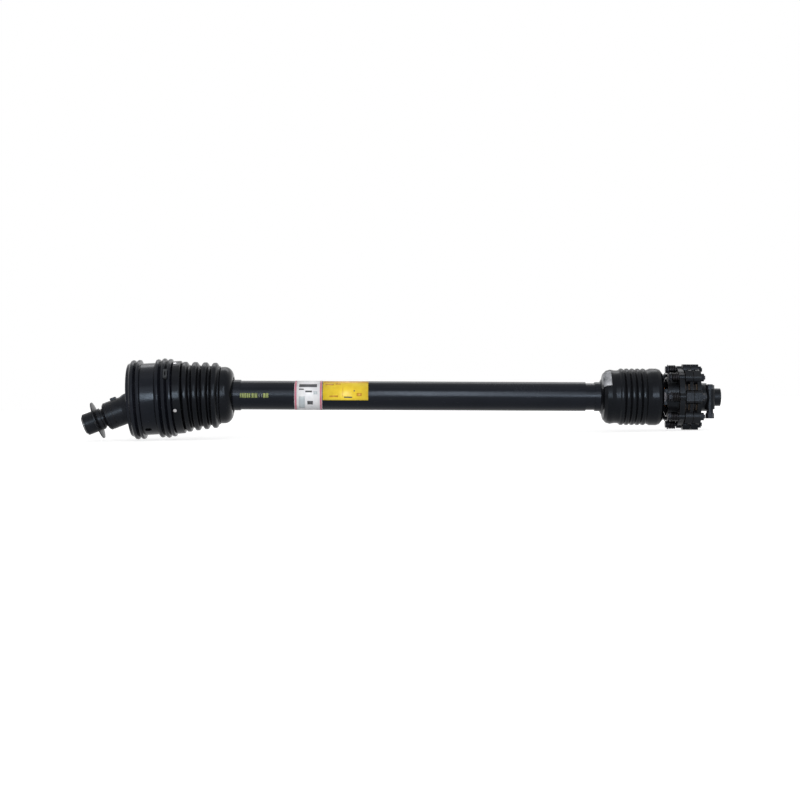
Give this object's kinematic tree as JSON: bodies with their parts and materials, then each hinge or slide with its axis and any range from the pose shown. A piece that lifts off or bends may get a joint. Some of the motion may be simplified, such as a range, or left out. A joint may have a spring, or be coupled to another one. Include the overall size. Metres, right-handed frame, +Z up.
{
  "type": "pto drive shaft",
  "caption": "Guarded telescoping drive shaft with a wide-angle joint and pull-collar yoke at the tractor end and a single joint with a friction clutch at the implement end",
  "frame": {"origin": "Centre of the open end of the implement hub's splined bore", "axes": "+X along the tubes, out of the implement hub; +Z up; +Y away from the side that carries the clamp bolt"},
  "size_m": [1.5961, 0.1994, 0.2035],
  "materials": {
    "black_paint": "satin black paint",
    "bare_steel": "machined steel",
    "guard_plastic": "moulded black polyethylene",
    "soft_plastic": "flexible black moulding",
    "nylon": "dark nylon",
    "bronze": "turned bronze",
    "spring_steel": "dark spring steel",
    "dark_fastener": "black oxide",
    "zinc_plate": "zinc plated",
    "friction_lining": "pressed friction material"
  },
  "bodies": {
    "outer_shaft": {"tube_yoke": "black_paint", "tube_yoke_bearing_cups": "bare_steel", "tube_yoke_circlips": "bare_steel", "outer_profile_tube": "bare_steel", "outer_roll_pin": "bare_steel"},
    "outer_guard": {"outer_guard_tube": "guard_plastic", "outer_guard_collar": "guard_plastic", "outer_guard_bearing": "nylon", "large_bellows": "soft_plastic"},
    "inner_cross": {"inner_cross": "bare_steel", "inner_grease_nipple": "zinc_plate"},
    "cv_body": {"cv_body": "black_paint", "cv_body_bearing_cups": "bare_steel", "cv_body_circlips": "bare_steel"},
    "centring_disc": {"centring_disc": "bare_steel"},
    "ball_seat": {"ball_seat": "bronze"},
    "guard_drum": {"guard_drum": "guard_plastic", "drum_bearing_ring": "nylon", "drum_lock_tabs": "nylon", "drum_screws": "zinc_plate"},
    "outer_cross": {"outer_cross": "bare_steel", "outer_grease_nipple": "zinc_plate"},
    "tractor_yoke": {"tractor_yoke": "black_paint", "tractor_yoke_bearing_cups": "bare_steel", "tractor_yoke_circlips": "bare_steel", "collar_snap_ring": "bare_steel", "lock_balls": "bare_steel", "collar_spring": "spring_steel"},
    "release_collar": {"release_collar": "black_paint"},
    "inner_shaft": {"clutch_side_yoke": "black_paint", "clutch_side_yoke_bearing_cups": "bare_steel", "clutch_side_yoke_circlips": "bare_steel", "inner_profile_tube": "bare_steel", "inner_roll_pin": "bare_steel"},
    "inner_guard": {"inner_guard_tube": "guard_plastic", "inner_guard_ring": "guard_plastic", "inner_guard_bearing": "nylon", "small_bellows": "soft_plastic", "chain_clip": "zinc_plate"},
    "clutch_cross": {"clutch_cross": "bare_steel", "clutch_grease_nipple": "zinc_plate"},
    "clutch_yoke": {"clutch_yoke": "black_paint", "clutch_yoke_bearing_cups": "bare_steel", "clutch_yoke_circlips": "bare_steel", "clutch_bush": "bronze", "friction_lining_1": "friction_lining", "friction_lining_2": "friction_lining", "friction_lining_3": "friction_lining", "friction_lining_4": "friction_lining", "separator_plate": "black_paint", "back_plate": "black_paint", "clutch_bolts": "dark_fastener", "clutch_nuts": "dark_fastener", "clutch_washers": "dark_fastener", "clutch_springs": "spring_steel"},
    "clutch_hub": {"clutch_hub": "black_paint", "drive_plate": "bare_steel", "clamp_bolt": "dark_fastener", "clamp_nut": "dark_fastener"}
  },
  "joints": [
    {"name": "guard_spin", "type": "hinge", "parent": "outer_shaft", "child": "outer_guard", "pos_m": [-1.21675, 0, 0], "axis": [1, 0, 0], "continuous": true},
    {"name": "wide_angle_yaw", "type": "hinge", "parent": "outer_shaft", "child": "inner_cross", "pos_m": [-1.3395, 0, 0], "axis": [0, 0, 1], "range_deg": [-24, 24]},
    {"name": "wide_angle_pitch", "type": "hinge", "parent": "inner_cross", "child": "cv_body", "pos_m": [-1.3395, 0, 0], "axis": [0, 1, 0], "range_deg": [-13.5, 34.5], "deforming": ["large_bellows"]},
    {"name": "disc_slide", "type": "slide", "parent": "cv_body", "child": "centring_disc", "axis": [-0.1822, 0, 0.9833], "range_m": [-0.03, 0.03]},
    {"name": "seat_slide", "type": "slide", "parent": "centring_disc", "child": "ball_seat", "axis": [0, 1, 0], "range_m": [-0.02, 0.02]},
    {"name": "drum_spin", "type": "hinge", "parent": "cv_body", "child": "guard_drum", "pos_m": [-1.38473, 0, -0.00838], "axis": [0.9981, 0, 0.061], "continuous": true},
    {"name": "tractor_pitch", "type": "hinge", "parent": "cv_body", "child": "outer_cross", "pos_m": [-1.42996, 0, -0.01677], "axis": [0, 1, 0], "range_deg": [-13.5, 34.5]},
    {"name": "tractor_yaw", "type": "hinge", "parent": "outer_cross", "child": "tractor_yoke", "pos_m": [-1.42996, 0, -0.01677], "axis": [-0.3584, 0, 0.9336], "range_deg": [-24, 24]},
    {"name": "collar_slide", "type": "slide", "parent": "tractor_yoke", "child": "release_collar", "axis": [0.9336, 0, 0.3584], "range_m": [0, 0.007], "stiffness_N_per_m": 4000, "springref_m": -0.012, "deforming": ["collar_spring"]},
    {"name": "telescope", "type": "slide", "parent": "outer_shaft", "child": "inner_shaft", "axis": [1, 0, 0], "range_m": [-0.02, 0.35]},
    {"name": "cone_spin", "type": "hinge", "parent": "inner_shaft", "child": "inner_guard", "pos_m": [-0.30025, 0, 0], "axis": [1, 0, 0], "continuous": true},
    {"name": "clutch_yaw", "type": "hinge", "parent": "inner_shaft", "child": "clutch_cross", "pos_m": [-0.15, 0, 0], "axis": [0, 0, 1], "range_deg": [-6.5, 6.5]},
    {"name": "clutch_pitch", "type": "hinge", "parent": "clutch_cross", "child": "clutch_yoke", "pos_m": [-0.15, 0, 0], "axis": [0, 1, 0], "range_deg": [-6.5, 6.5]},
    {"name": "clutch_slip", "type": "hinge", "parent": "clutch_yoke", "child": "clutch_hub", "pos_m": [-0.087, 0, 0], "axis": [1, 0, 0], "continuous": true}
  ],
  "couplings": [
    {"joint": "drum_spin", "follows": "guard_spin", "ratio": 1},
    {"joint": "tractor_pitch", "follows": "wide_angle_pitch", "ratio": 1},
    {"joint": "tractor_yaw", "follows": "wide_angle_yaw", "ratio": 1},
    {"joint": "disc_slide", "follows": "wide_angle_pitch", "m_per_rad": -0.03593},
    {"joint": "seat_slide", "follows": "wide_angle_yaw", "m_per_rad": 0.03593}
  ]
}
